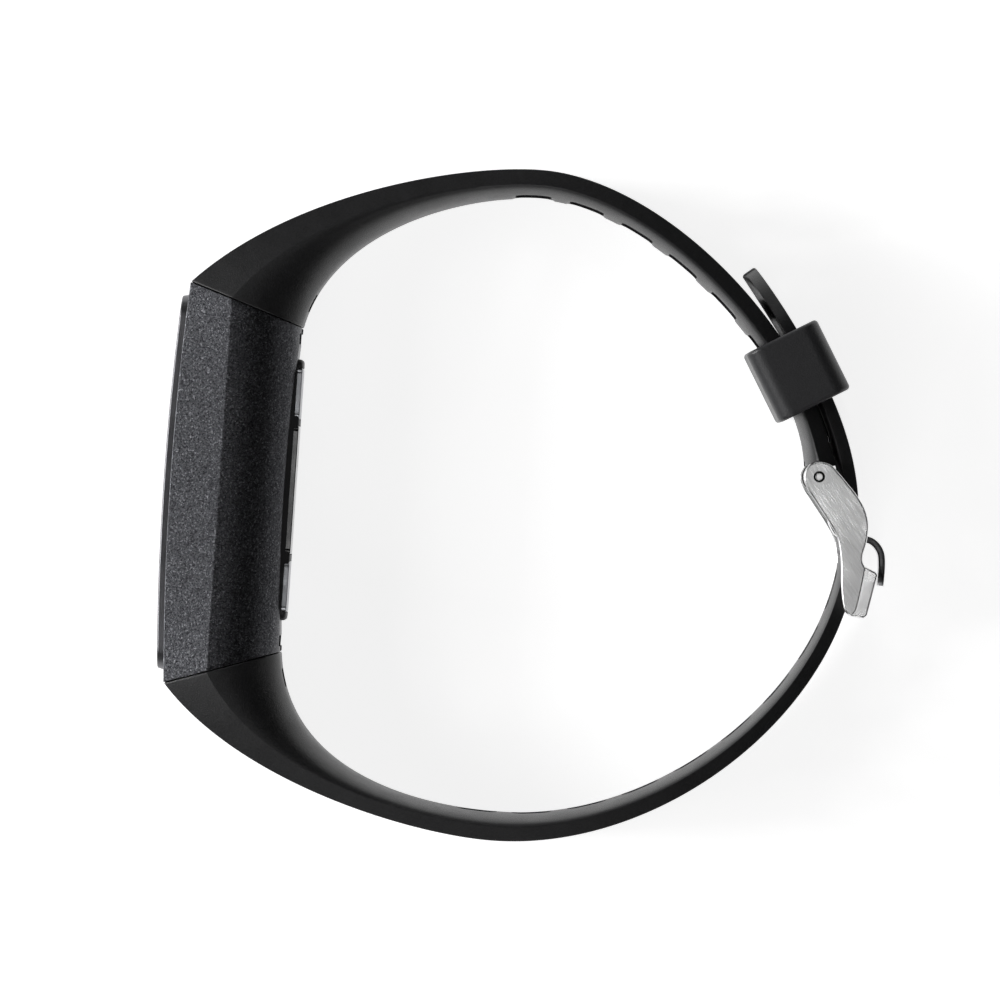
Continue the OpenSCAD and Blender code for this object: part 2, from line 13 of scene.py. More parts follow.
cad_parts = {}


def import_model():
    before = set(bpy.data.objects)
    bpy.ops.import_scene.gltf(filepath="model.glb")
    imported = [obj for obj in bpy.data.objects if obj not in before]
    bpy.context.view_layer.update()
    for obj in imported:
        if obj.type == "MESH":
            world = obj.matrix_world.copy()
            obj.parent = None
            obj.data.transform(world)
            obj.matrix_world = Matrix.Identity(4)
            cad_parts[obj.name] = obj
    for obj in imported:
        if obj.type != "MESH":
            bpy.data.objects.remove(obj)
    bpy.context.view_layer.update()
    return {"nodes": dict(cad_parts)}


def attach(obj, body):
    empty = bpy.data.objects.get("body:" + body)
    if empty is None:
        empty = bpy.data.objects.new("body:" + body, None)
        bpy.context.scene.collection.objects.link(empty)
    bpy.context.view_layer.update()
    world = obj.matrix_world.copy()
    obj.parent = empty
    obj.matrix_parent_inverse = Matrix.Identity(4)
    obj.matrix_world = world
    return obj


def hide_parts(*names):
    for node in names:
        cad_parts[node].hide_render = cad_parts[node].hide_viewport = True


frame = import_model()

MM = 0.001
HALF_W = 9.25

# ---- The tracker's places, as in the CAD part ----
FRONT_X = -35.8
BACK_X = -24.15
CREASE_X = -31.4
FRONT_HALF_L = 20.5
BACK_HALF_L = 16.6
FRONT_BOW = 0.7
BACK_HOLLOW = 0.7
FACE_W = 7.9
BACK_FLAT = 4.0
GLASS_HALF_L = 19.3
GLASS_HALF_W = 7.5
GLASS_CORNER = 2.4
GLASS_BACK_X = -35.65
GLASS_PROUD = 0.7
PAD_BACK_X = -25.4
PAD_FACE_X = -23.8
PAD_HALF_L = 13.4
PAD_HALF_W = 5.4
PAD_CORNER = 2.0
INLAY_W = 5.45
INLAY_T = 0.5
INLAY_GAP = 0.05
INLAY_CORNER = 0.65
WINDOW_HALF_L = 6.6
CONTACT_Y = 9.9
CONTACT_HALF_L = 2.6

# ---- Hollows in the case ----
CAVITY_BACK_X = -27.3
CAVITY_HALF_L = 14.3
CAVITY_HALF_W = 7.0
BACK_CAVITY_X = (-28.3, -25.5)
BACK_CAVITY_HALF_L = 12.4
BACK_CAVITY_HALF_W = 4.8
NUB_X = (-27.46, -26.14)
NUB_HALF_W = 1.6
CUT_CLEAR = 0.06
# A place beyond the back, where cutters that open backwards end
OPEN_X = -20.0

# ---- Strap outlines: each curve is four points of a cubic ----
CROWN_Y = 34.35
STRAP_T = 2.8
UPPER_END_T = 3.15
UPPER_THIN = 0.65
SWELL = 14
END_T = 1.65
TIP_T = 1.6
INSIDE_Y = CROWN_Y - STRAP_T
STRAP_MID_W = 8.7
STRAP_END_W = 7.9
INNER_FLAT = 1.2
STRAP_EDGE_R = 0.1
STRAP_CREASE_R = 0.07
# Each first rib's place on its curve and its inset, which round the strap's end at the case
PARTING_RIBS = [(0.0004, 0.3), (0.0022, 0.14), (0.0034, 0.04), (0.005, 0.01), (0.008, 0.0)]
UPPER_ROOT_OUT = [(FRONT_X, FRONT_HALF_L), (-26.2, 30.35), (-9.2, CROWN_Y), (-1, CROWN_Y)]
UPPER_ROOT_IN = [(BACK_X, BACK_HALF_L), (-22.1, 27), (-8.6, INSIDE_Y), (-1, INSIDE_Y)]
UPPER_END_IN = [(-1, INSIDE_Y), (11.25, INSIDE_Y), (27.35, 16.1), (28.2, 6)]
LOWER_ROOT_OUT = [(FRONT_X, -FRONT_HALF_L), (-27.4, -30.3), (-9.2, -CROWN_Y), (-1, -CROWN_Y)]
LOWER_ROOT_IN = [(BACK_X, -BACK_HALF_L), (-23, -29), (-9.1, -INSIDE_Y), (-1, -INSIDE_Y)]
LOWER_END_OUT = [(-1, -CROWN_Y), (16.6, -CROWN_Y), (34.1, -18.4), (34.1, -2)]
TAIL_OUT = [(34.1, -2), (34.1, 5.9), (32.4, 12.6), (21.8, 26)]
SLOT_L = 3.7
SLOT_W = 5.4
VENT_W = 11.0
SLOT_PITCH = 6.0
SLOT_CORNER = 0.8
UPPER_SLOTS = [33.15 + SLOT_PITCH * k for k in range(6)]
LOWER_SLOTS = [85.9 + SLOT_PITCH * k for k in range(-9, 4)]

# ---- Connector, latch button, keeper and buckle places ----
GROOVE_Y = 15.0
TONGUE_FRONT_X = FRONT_X + 3.4
ANCHOR_Y = 21.4
HEAD_W = 5.1
NECK_W = 4.3
BUTTON_Y = 19.3
BUTTON_FACE_X = -24.25
BUTTON_BACK_X = -25.25
BUTTON_HALF_L = 0.8
BUTTON_HALF_W = 3.6
STEM_X = -28.85
STEM_HALF_W = 1.4
KEEPER_AT = (27.15, 15.88)
KEEPER_TURN = math.radians(30.25)
KEEPER_L = 7.9
KEEPER_IN = -4.5
KEEPER_OUT = 3.55
KEEPER_R = 1.8
KEEPER_HOLE_IN = -3.25
KEEPER_HOLE_OUT = 1.7
KEEPER_HOLE_W = STRAP_END_W + 0.35
KEEPER_HOLE_R = 0.4
PIN_AT = (29.6, 5.0)
PIN_R = 0.6
PIN_TIP_R = 0.32
BARREL_R = 1.5
PIN_HOLE_R = 0.37
DIMPLE_R = 0.58
DIMPLE_T = 0.75
PLATE_IN = 8.1
PLATE_OUT = 9.2
TANG_W = 4.6
TANG_T = 0.7
TANG_RING_R = 1.2
TANG_BORE_R = 0.65


# ======================= Mesh helpers =======================
def world(point):
    """A point in millimetres around the middle plane, in metres in the part's frame."""
    x, y, z = point
    return Vector((x * MM, y * MM, (z + HALF_W) * MM))


def add_mesh(name, points, faces):
    """A new object from points in millimetres and faces, with its normals facing out."""
    mesh = bpy.data.meshes.new(name)
    mesh.from_pydata([world(p) for p in points], [], faces)
    work = bmesh.new()
    work.from_mesh(mesh)
    bmesh.ops.recalc_face_normals(work, faces=work.faces)
    work.to_mesh(mesh)
    work.free()
    obj = bpy.data.objects.new(name, mesh)
    bpy.context.scene.collection.objects.link(obj)
    return obj


def loft(name, rings, closed=False):
    """Skins a row of rings that have equal counts. Closed joins the last ring to the first."""
    count = len(rings[0])
    points = [p for ring in rings for p in ring]
    faces = []
    for i in range(len(rings) if closed else len(rings) - 1):
        a, b = i * count, (i + 1) % len(rings) * count
        for j in range(count):
            k = (j + 1) % count
            faces.append((a + j, a + k, b + k, b + j))
    if not closed:
        faces.append(tuple(range(count)))
        faces.append(tuple(range(len(points) - count, len(points))))
    return add_mesh(name, points, faces)


def bake(obj):
    """Applies the object's modifiers to its mesh."""
    bpy.context.view_layer.update()
    graph = bpy.context.evaluated_depsgraph_get()
    mesh = bpy.data.meshes.new_from_object(obj.evaluated_get(graph))
    obj.modifiers.clear()
    obj.data = mesh
    return obj


def combine(obj, other, operation):
    """Cuts the other object from obj, or joins it to obj, and removes the other."""
    modifier = obj.modifiers.new("combine", "BOOLEAN")
    modifier.operation = operation
    modifier.solver = "EXACT"
    modifier.object = other
    bake(obj)
    bpy.data.objects.remove(other)
    return obj


def bevel(obj, width, segments, angle=40):
    """Rounds every edge that turns by more than the angle."""
    modifier = obj.modifiers.new("bevel", "BEVEL")
    modifier.width = width * MM
    modifier.segments = segments
    modifier.limit_method = "ANGLE"
    modifier.angle_limit = math.radians(angle)
    modifier.harden_normals = False
    return bake(obj)


def shade(obj, angle=32):
    """Smooth shading, with edges kept sharp where the surface turns by more than the angle."""
    mesh = obj.data
    for polygon in mesh.polygons:
        polygon.use_smooth = True
    mesh.set_sharp_from_angle(angle=math.radians(angle))
    modifier = obj.modifiers.new("normals", "WEIGHTED_NORMAL")
    modifier.keep_sharp = True
    return bake(obj)


def merge(name, objects):
    """Several objects as one, in the first one's frame."""
    work = bmesh.new()
    for obj in objects:
        work.from_mesh(obj.data)
        bpy.data.objects.remove(obj)
    mesh = bpy.data.meshes.new(name)
    work.to_mesh(mesh)
    work.free()
    merged = bpy.data.objects.new(name, mesh)
    bpy.context.scene.collection.objects.link(merged)
    return merged


def finish_piece(obj, body, nodes, material):
    """Gives a piece its material and its body, and hides the CAD nodes that it stands for."""
    obj.data.materials.append(material)
    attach(obj, body)
    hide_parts(*nodes)
    return obj


# ======================= Curve helpers =======================
def cubic(p, t):
    """The point at a share t of a cubic through four control points."""
    weights = ((1 - t) ** 3, 3 * (1 - t) ** 2 * t, 3 * (1 - t) * t * t, t ** 3)
    return Vector([sum(w * q[axis] for w, q in zip(weights, p)) for axis in (0, 1)])


def normal_of(p, t):
    """The unit left-hand normal of a cubic."""
    weights = ((1 - t) ** 2, 2 * (1 - t) * t, t * t)
    legs = [Vector(p[i + 1]) - Vector(p[i]) for i in range(3)]
    slope = sum((w * leg for w, leg in zip(weights, legs)), Vector((0, 0)))
    return Vector((-slope.y, slope.x)).normalized()


def rounded(before, corner, after, radius, steps):
    """Points that round a corner, from its incoming leg to its outgoing one."""
    corner = Vector(corner)
    start = corner + (Vector(before) - corner).normalized() * radius
    end = corner + (Vector(after) - corner).normalized() * radius
    points = []
    for k in range(steps + 1):
        t = k / steps
        points.append(start * (1 - t) ** 2 + corner * 2 * t * (1 - t) + end * t * t)
    return points


def round_rectangle(half_x, half_y, radius, steps=8):
    """A counter-clockwise rectangle with round corners, around the origin."""
    points = []
    for turn, (sx, sy) in enumerate(((1, 1), (-1, 1), (-1, -1), (1, -1))):
        centre = Vector((sx * (half_x - radius), sy * (half_y - radius)))
        for k in range(steps + 1):
            angle = math.pi / 2 * (turn + k / steps)
            points.append(centre + radius * Vector((math.cos(angle), math.sin(angle))))
    return points


def through(points, steps=8, closed=False):
    """A smooth line through points, with its steps spread evenly on each leg."""
    count = len(points)
    line = []
    for i in range(count if closed else count - 1):
        if closed:
            around = [Vector(points[(i + k) % count]) for k in (-1, 0, 1, 2)]
        else:
            around = [Vector(points[min(max(i + k, 0), count - 1)]) for k in (-1, 0, 1, 2)]
        before, a, b, after = around
        for k in range(steps):
            t = k / steps
            pull_a, pull_b = (b - before) / 2, (after - a) / 2
            line.append(a * (2 * t ** 3 - 3 * t * t + 1) + b * (3 * t * t - 2 * t ** 3)
                        + pull_a * (t ** 3 - 2 * t * t + t) + pull_b * (t ** 3 - t * t))
    if not closed:
        line.append(Vector(points[-1]))
    return line


def prism(name, outline, z0, z1):
    """A straight solid from an outline in X and Y."""
    return loft(name, [[(p[0], p[1], z) for p in outline] for z in (z0, z1)])


def slab(name, x0, x1, y0, y1, half_z):
    """A box whose middle lies on the band's middle plane."""
    return prism(name, [(x0, y0), (x1, y0), (x1, y1), (x0, y1)], -half_z, half_z)


def rounded_block(name, x0, x1, half_l, half_w, radius, edge, y=0.0):
    """A plate that faces +X: round corners seen from the front, and a rounded front edge."""
    steps = 4
    stations = [(x0, 0.0)]
    for k in range(steps + 1):
        angle = math.pi / 2 * k / steps
        stations.append((x1 - edge + edge * math.sin(angle), edge * (1 - math.cos(angle))))
    rings = []
    for x, inset in stations:
        outline = round_rectangle(half_l - inset, half_w - inset, max(radius - inset, 0.05))
        rings.append([(x, y + p[0], p[1]) for p in outline])
    return loft(name, rings)


# ======================= Materials =======================
class Nodes:
    """Builds one material's node tree, with points taken from the object's own frame.

    Sizes and depths are in millimetres. Colours are linear.
    """

    def __init__(self, name):
        self.material = bpy.data.materials.new(name)
        self.material.use_nodes = True
        self.tree = self.material.node_tree
        self.shader = self.tree.nodes["Principled BSDF"]
        self.place = self.add("ShaderNodeTexCoord").outputs["Object"]

    def add(self, kind, **values):
        node = self.tree.nodes.new(kind)
        for key, value in values.items():
            setattr(node, key, value)
        return node

    def link(self, a, b):
        self.tree.links.new(a, b)

    def set(self, **values):
        for key, value in values.items():
            self.shader.inputs[key.replace("_", " ")].default_value = value

    def noise(self, size, detail=3.0, rough=0.55, stretch=None, turn=0.0):
        """Noise whose features are about `size` millimetres, or stretched by a factor on each axis."""
        node = self.add("ShaderNodeTexNoise")
        node.inputs["Scale"].default_value = 1 / (size * MM)
        node.inputs["Detail"].default_value = detail
        node.inputs["Roughness"].default_value = rough
        source = self.place
        if stretch:
            turned = self.add("ShaderNodeMapping")
            turned.inputs["Rotation"].default_value = (0, 0, turn)
            self.link(source, turned.inputs["Vector"])
            mapping = self.add("ShaderNodeMapping")
            mapping.inputs["Scale"].default_value = stretch
            self.link(turned.outputs["Vector"], mapping.inputs["Vector"])
            source = mapping.outputs["Vector"]
        self.link(source, node.inputs["Vector"])
        return node.outputs["Fac"]

    def cells(self, size):
        """Random grey cells of about `size` millimetres."""
        node = self.add("ShaderNodeTexVoronoi")
        node.inputs["Scale"].default_value = 1 / (size * MM)
        self.link(self.place, node.inputs["Vector"])
        return node.outputs["Color"]

    def range(self, source, low, high, to_low, to_high):
        node = self.add("ShaderNodeMapRange")
        for key, value in zip(("From Min", "From Max", "To Min", "To Max"), (low, high, to_low, to_high)):
            node.inputs[key].default_value = value
        self.link(source, node.inputs["Value"])
        return node.outputs["Result"]

    def math(self, operation, a, b):
        node = self.add("ShaderNodeMath", operation=operation)
        for value, socket in zip((a, b), node.inputs):
            if isinstance(value, (int, float)):
                socket.default_value = value
            else:
                self.link(value, socket)
        return node.outputs[0]

    def blend(self, factor, dark, light):
        node = self.add("ShaderNodeMix", data_type="RGBA")
        node.inputs["A"].default_value = (*dark, 1)
        node.inputs["B"].default_value = (*light, 1)
        self.link(factor, node.inputs["Factor"])
        return node.outputs["Result"]

    def over(self, factor, under, top):
        """One plain colour laid over a colour that is already linked."""
        node = self.add("ShaderNodeMix", data_type="RGBA")
        self.link(under, node.inputs["A"])
        node.inputs["B"].default_value = (*top, 1)
        self.link(factor, node.inputs["Factor"])
        return node.outputs["Result"]

    def bump(self, height, depth, below=None):
        """Raises the surface by `depth` millimetres where height is 1."""
        node = self.add("ShaderNodeBump")
        node.inputs["Strength"].default_value = 1.0
        node.inputs["Distance"].default_value = depth * MM
        self.link(height, node.inputs["Height"])
        if below:
            self.link(below, node.inputs["Normal"])
        return node.outputs["Normal"]

    def edges(self):
        """1 on sharp convex edges and 0 on flat faces, from the mesh's pointiness."""
        pointed = self.add("ShaderNodeNewGeometry").outputs["Pointiness"]
        return self.range(pointed, 0.505, 0.56, 0, 1)

    def use(self, **sources):
        for key, source in sources.items():
            self.link(source, self.shader.inputs[key.replace("_", " ")])
        return self.material


def silicone(name, dark, light, edge_highlight_tone, grain=0.13, depth=0.03):
    """Moulded silicone: fine matte grain, soft blotches, slightly polished edges, and a painted highlight in
    a lighter tone along its edges and crease.
    """
    m = Nodes(name)
    m.set(Specular_IOR_Level=0.5)
    fine = m.noise(grain, detail=4)
    soft = m.noise(3.0, detail=2)
    wear_and_highlight = m.edges()
    rough = m.math("ADD", m.range(soft, 0.3, 0.7, 0.4, 0.46), m.range(fine, 0.3, 0.7, -0.05, 0.05))
    rough = m.math("SUBTRACT", rough, m.math("MULTIPLY", wear_and_highlight, 0.08))
    bumped = m.bump(fine, depth, below=m.bump(soft, 0.02))
    tone = m.blend(m.range(fine, 0.3, 0.7, 0, 1), dark, light)
    # The lighter tone on convex edges and the crease is a painted highlight; the lower roughness there is
    # polish
    return m.use(Base_Color=m.over(wear_and_highlight, tone, edge_highlight_tone), Roughness=rough, Normal=bumped)


def blasted(name):
    """Bead-blasted, dark anodised aluminium: a sparkling fine grain."""
    m = Nodes(name)
    m.set(Metallic=1.0)
    fine = m.noise(0.2, detail=3, rough=0.7)
    glint = m.cells(0.12)
    broad = m.noise(5.0, detail=2)
    tone = m.math("ADD", m.range(fine, 0.35, 0.65, 0, 0.4), m.range(glint, 0.7, 1.0, 0, 0.9))
    rough = m.math("ADD", m.range(glint, 0, 1, 0.3, 0.42), m.range(broad, 0.3, 0.7, -0.03, 0.03))
    bumped = m.bump(fine, 0.035, below=m.bump(glint, 0.02))
    color = m.blend(tone, (0.02, 0.02, 0.023), (0.24, 0.245, 0.26))
    return m.use(Base_Color=color, Roughness=rough, Normal=bumped)


def moulded(name, dark, light, grain=0.09, depth=0.015, rough=(0.45, 0.6), metal=0.0):
    """Hard moulded plastic, or a plain metal, with an even fine texture."""
    m = Nodes(name)
    m.set(Metallic=metal, Specular_IOR_Level=0.5)
    fine = m.noise(grain, detail=4)
    broad = m.noise(2.0, detail=2)
    tone = m.math("ADD", m.math("MULTIPLY", fine, 0.7), m.math("MULTIPLY", m.edges(), 0.3))
    return m.use(Base_Color=m.blend(tone, dark, light),
                 Roughness=m.range(m.math("MULTIPLY", m.math("ADD", fine, broad), 0.5), 0.35, 0.65, *rough),
                 Normal=m.bump(fine, depth))


def brushed(name, dark, light, turn, along=6.0, across=0.05, rough=(0.22, 0.42), depth=0.006):
    """Brushed steel: long fine lines that run at an angle to X, with a few deeper scratches."""
    m = Nodes(name)
    m.set(Metallic=1.0)
    lines = m.noise(1.0, detail=5, rough=0.65, stretch=(1 / along, 1 / across, 1 / across), turn=-turn)
    coarse = m.noise(1.0, detail=2, stretch=(1 / (2 * along), 1 / (5 * across), 1 / (5 * across)),
                     turn=-turn)
    broad = m.noise(4.0, detail=1)
    tone = m.math("ADD", m.range(lines, 0.3, 0.7, 0, 0.7), m.range(coarse, 0.3, 0.7, 0, 0.3))
    roughness = m.math("ADD", m.range(lines, 0.3, 0.7, *rough), m.range(broad, 0.3, 0.7, -0.03, 0.03))
    bumped = m.bump(lines, depth, below=m.bump(coarse, depth * 2))
    return m.use(Base_Color=m.blend(tone, dark, light), Roughness=roughness, Normal=bumped)


def polished(name, dark, light, rough=(0.12, 0.22)):
    """Polished steel with faint hazing and hairline marks."""
    m = Nodes(name)
    m.set(Metallic=1.0)
    haze = m.noise(1.2, detail=4)
    marks = m.noise(0.06, detail=3)
    return m.use(Base_Color=m.blend(haze, dark, light), Roughness=m.range(haze, 0.3, 0.7, *rough),
                 Normal=m.bump(marks, 0.002))


def glassy(name, dark, light, rough=(0.06, 0.14)):
    """Hard gloss with faint smears."""
    m = Nodes(name)
    m.set(Specular_IOR_Level=0.45)
    smear = m.noise(2.5, detail=5)
    wave = m.noise(6.0, detail=1)
    return m.use(Base_Color=m.blend(smear, dark, light), Roughness=m.range(smear, 0.35, 0.65, *rough),
                 Normal=m.bump(wave, 0.01))


BRUSH_TURN = math.radians(-52)
# Each silicone's edge tone is a painted highlight along its edges and crease
strap_rubber = silicone("strap_rubber", (0.003, 0.003, 0.0035), (0.014, 0.014, 0.015),
                        edge_highlight_tone=(0.014, 0.014, 0.015))
keeper_rubber = silicone("keeper_rubber", (0.005, 0.005, 0.0055), (0.024, 0.024, 0.026),
                         edge_highlight_tone=(0.045, 0.045, 0.048))
case_metal = blasted("case_metal")
cover_gloss = glassy("cover_gloss", (0.008, 0.008, 0.009), (0.014, 0.014, 0.016))
base_plastic = moulded("base_plastic", (0.004, 0.004, 0.005), (0.02, 0.02, 0.022))
window_gloss = glassy("window_gloss", (0.008, 0.008, 0.009), (0.02, 0.02, 0.022), rough=(0.12, 0.22))
contact_metal = moulded("contact_metal", (0.3, 0.305, 0.32), (0.46, 0.47, 0.49), grain=0.06, depth=0.004,
                        rough=(0.3, 0.42), metal=1.0)
buckle_steel = brushed("buckle_steel", (0.5, 0.5, 0.5), (0.9, 0.9, 0.9), BRUSH_TURN, along=1.6, across=0.05,
                       depth=0.002)
rim_steel = polished("rim_steel", (0.6, 0.6, 0.6), (0.82, 0.82, 0.82))
tang_steel = brushed("tang_steel", (0.05, 0.05, 0.052), (0.2, 0.2, 0.205), math.radians(-70), along=3.0,
                     across=0.12)
ground_edge = moulded("ground_edge", (0.07, 0.07, 0.075), (0.17, 0.17, 0.18), grain=0.15, rough=(0.3, 0.42),
                      metal=1.0)
# Painted shade: a near-black material for the inside of the deep pin dimples, standing in for the shade
# there
dimple_painted_shade = moulded("dimple_painted_shade", (0.004, 0.004, 0.004), (0.02, 0.02, 0.02))
pin_steel = polished("pin_steel", (0.6, 0.6, 0.6), (0.85, 0.85, 0.85), rough=(0.24, 0.32))
satin_steel = polished("satin_steel", (0.68, 0.68, 0.68), (0.84, 0.84, 0.84), rough=(0.26, 0.32))


# ======================= Straps =======================
def strap_ring(outer, inner, crease_w, flat_w, inset=0.0):
    """One ring of the strap: flat outside, bevel facet, crease, and a crowned inner side."""
    thick = (inner - outer).length
    depth = min(0.62 + 0.32 * thick, 0.8 * thick)
    face_w = max(crease_w - 0.3 * depth, 0.2)
    edge_r = min(STRAP_EDGE_R, 0.25 * depth)
    crease_r = min(STRAP_CREASE_R, 0.2 * (thick - depth))
    half = [Vector((0, 0)), Vector((0, 0.5 * face_w))]
    half += rounded((0, 0), (0, face_w), (depth, crease_w), edge_r, 4)
    half += rounded((0, face_w), (depth, crease_w), (thick, crease_w), crease_r, 3)
    start = math.asin(min(1, crease_r / (thick - depth)))
    for k in range(1, 15):
        angle = start + (math.pi / 2 - start) * k / 14
        half.append(Vector((depth + (thick - depth) * math.sin(angle),
                            flat_w + (crease_w - flat_w) * math.cos(angle))))
    half += [Vector((thick, 0.5 * flat_w)), Vector((thick, 0))]
    mirrored = [Vector((p.x, -p.y)) for p in reversed(half[1:-1])]
    centre = Vector((0.45 * thick, 0))
    ring = []
    for p in half + mirrored:
        if inset:
            p = p + (centre - p).normalized() * min(inset, (centre - p).length * 0.8)
        at = outer + (inner - outer) * (p.x / thick)
        ring.append((at.x, at.y, p.y))
    return ring


def root_ribs(out, inn, steps=64):
    """Ribs from the case to mid length, with a small rounded end at the parting line."""
    first = PARTING_RIBS[-1][0]
    ribs = PARTING_RIBS + [(first + (1 - first) * k / steps, 0.0) for k in range(1, steps + 1)]
    return [(cubic(out, t), cubic(inn, t), HALF_W + (STRAP_MID_W - HALF_W) * t,
             BACK_FLAT + (INNER_FLAT - BACK_FLAT) * t, inset) for t, inset in ribs]


def upper_thick(t):
    """The buckle's strap thins on its way to the pin, then swells to hold the barrel."""
    return STRAP_T - UPPER_THIN * t * t + (UPPER_END_T - STRAP_T + UPPER_THIN) * t ** SWELL


def lower_thick(t):
    """The tail's strap thins evenly up to the buckle."""
    return STRAP_T + (END_T - STRAP_T) * t


def end_ribs(curve, thickness, measured_inside, steps=84):
    """Ribs from mid length to the buckle, along the inner or the outer curve."""
    ribs = []
    for k in range(1, steps + 1):
        t = k / steps
        thick = thickness(t)
        here = cubic(curve, t)
        there = here + normal_of(curve, t) * thick
        outer, inner = (there, here) if measured_inside else (here, there)
        ribs.append((outer, inner, STRAP_MID_W + (STRAP_END_W - STRAP_MID_W) * t, INNER_FLAT, 0.0))
    return ribs


def tail_ribs(steps=90, tip_part=0.16):
    """The free end, which thins, narrows to a round tip and has a rounded rim."""
    ribs = []
    for k in range(1, steps + 1):
        t = 1 - (1 - k / steps) ** 1.35
        t = min(t, 0.9985)
        thick = END_T + (TIP_T - END_T) * t
        narrow = 1.0
        if t > 1 - tip_part:
            narrow = math.sqrt(max(1 - ((t - 1 + tip_part) / tip_part) ** 2, 0.01))
        here = cubic(TAIL_OUT, t)
        ribs.append((here, here + normal_of(TAIL_OUT, t) * thick, STRAP_END_W * narrow,
                     INNER_FLAT * narrow, 0.0))
    last = ribs[-1]
    for step, inset in ((0.12, 0.1), (0.2, 0.28)):
        ahead = (ribs[-1][0] - ribs[-4][0]).normalized() * step
        ribs.append((last[0] + ahead, last[1] + ahead, last[2], last[3], inset))
    return ribs


def slot_cutters(name, ribs, places, width):
    """Cutters for the slots, each flared where it leaves the strap so that its rim is round."""
    middles = [(rib[0] + rib[1]) / 2 for rib in ribs]
    runs = [0.0]
    for a, b in zip(middles, middles[1:]):
        runs.append(runs[-1] + (b - a).length)
    flare = 0.26
    cutters = []
    for number, place in enumerate(places):
        i = next(k for k in range(1, len(runs)) if runs[k] >= place)
        share = (place - runs[i - 1]) / (runs[i] - runs[i - 1])
        at = middles[i - 1].lerp(middles[i], share)
        along = (middles[i] - middles[i - 1]).normalized()
        across = Vector((-along.y, along.x))
        half_t = (ribs[i][0] - ribs[i][1]).length / 2
        heights = [(-3.0, flare + 0.3), (-half_t, flare)]
        for k in (1, 2, 3):
            angle = math.pi / 2 * (1 - k / 3)
            heights.append((-half_t + flare * (1 - math.sin(angle)), flare * (1 - math.cos(angle))))
        heights += [(-h, grow) for h, grow in reversed(heights)]
        rings = []
        for height, grow in heights:
            outline = round_rectangle(SLOT_L / 2 + grow, width / 2 + grow, SLOT_CORNER + grow, steps=5)
            ring = []
            for p in outline:
                spot = at + along * p.x + across * height
                ring.append((spot.x, spot.y, p.y))
            rings.append(ring)
        cutters.append(loft(f"{name}_{number}", rings))
    return merge(name, cutters)


def end_sign(obj, s):
    """Turns an upper-end shape over for the lower end."""
    if s < 0:
        obj.data.transform(Matrix.Scale(-1, 4, (0, 1, 0)))
        obj.data.flip_normals()
    return obj


def seat_cutters(s, name):
    """The connector's seat and the button's pocket in a strap root."""
    seat = slab(name + "_seat", TONGUE_FRONT_X, BACK_X - 0.4, 12.0, ANCHOR_Y, NECK_W)
    gap = 0.15
    pocket = rounded_block(name + "_pocket", BUTTON_BACK_X - 0.7, -21.0, BUTTON_HALF_L + gap,
                           BUTTON_HALF_W + gap, 0.75, 0.1, y=BUTTON_Y)
    return [end_sign(seat, s), end_sign(pocket, s)]


def build_upper_strap():
    """The buckle's strap, with its slots, its barrel for the pin and a gap for the tang."""
    ribs = root_ribs(UPPER_ROOT_OUT, UPPER_ROOT_IN) + end_ribs(UPPER_END_IN, upper_thick, True)
    strap = loft("strap_upper", [strap_ring(*rib) for rib in ribs])
    combine(strap, slot_cutters("upper_slots", ribs, UPPER_SLOTS, VENT_W), "DIFFERENCE")
    for cutter in seat_cutters(1, "upper"):
        combine(strap, cutter, "DIFFERENCE")
    end, side = STRAP_END_W, BARREL_R
    half = [(0.0, end), (side - 0.2, end), (side - 0.06, end - 0.04), (side, end - 0.18)]
    barrel = lathe("barrel", [(r, -z) for r, z in half] + half[::-1], PIN_AT, 48)
    combine(strap, barrel, "UNION")
    bore = lathe("bore", [(0.0, -9.0), (PIN_R, -9.0), (PIN_R, 9.0), (0.0, 9.0)], PIN_AT, 40)
    combine(strap, bore, "DIFFERENCE")
    gap = slab("tang_gap", PIN_AT[0] - 3, PIN_AT[0] + 3, PIN_AT[1] - 2.5, PIN_AT[1] + 1.5,
               TANG_W / 2 + 0.2)
    bevel(gap, 0.3, 3)
    combine(strap, gap, "DIFFERENCE")
    return shade(strap)


def build_lower_strap():
    """The strap that runs under the buckle and ends in the tail."""
    ribs = root_ribs(LOWER_ROOT_OUT, LOWER_ROOT_IN) + end_ribs(LOWER_END_OUT, lower_thick, False)
    ribs += tail_ribs()
    strap = loft("strap_lower", [strap_ring(*rib) for rib in ribs])
    combine(strap, slot_cutters("lower_slots", ribs, LOWER_SLOTS, SLOT_W), "DIFFERENCE")
    for cutter in seat_cutters(-1, "lower"):
        combine(strap, cutter, "DIFFERENCE")
    return shade(strap)


def lathe(name, profile, at, steps):
    """Turns a profile of (radius, z) around an upright axis."""
    rings = []
    for k in range(steps):
        angle = 2 * math.pi * k / steps
        rings.append([(at[0] + r * math.cos(angle), at[1] + r * math.sin(angle), z) for r, z in profile])
    obj = loft(name, rings, closed=True)
    work = bmesh.new()
    work.from_mesh(obj.data)
    # The profile is open, so the faces that join its last point to its first are dropped
    drop = [f for f in work.faces if all(math.hypot(v.co.x - at[0] * MM, v.co.y - at[1] * MM) < 1e-9
                                         for v in f.verts)]
    bmesh.ops.delete(work, geom=drop, context="FACES")
    bmesh.ops.remove_doubles(work, verts=work.verts, dist=1e-9)
    bmesh.ops.dissolve_degenerate(work, edges=work.edges, dist=1e-9)
    bmesh.ops.recalc_face_normals(work, faces=work.faces)
    work.to_mesh(obj.data)
    work.free()
    return obj


# ======================= Tracker =======================
def front_at(y):
    """The bowed front's place along X."""
    return FRONT_X - FRONT_BOW * (1 - (y / FRONT_HALF_L) ** 2)


def back_at(y):
    """The hollowed back's place along X."""
    return BACK_X - BACK_HOLLOW * (1 - min(1, (y / BACK_HALF_L) ** 2))


def end_at(x):
    """Half length of the case at a place along X."""
    return FRONT_HALF_L - (x - FRONT_X) * (FRONT_HALF_L - BACK_HALF_L) / (BACK_X - FRONT_X)


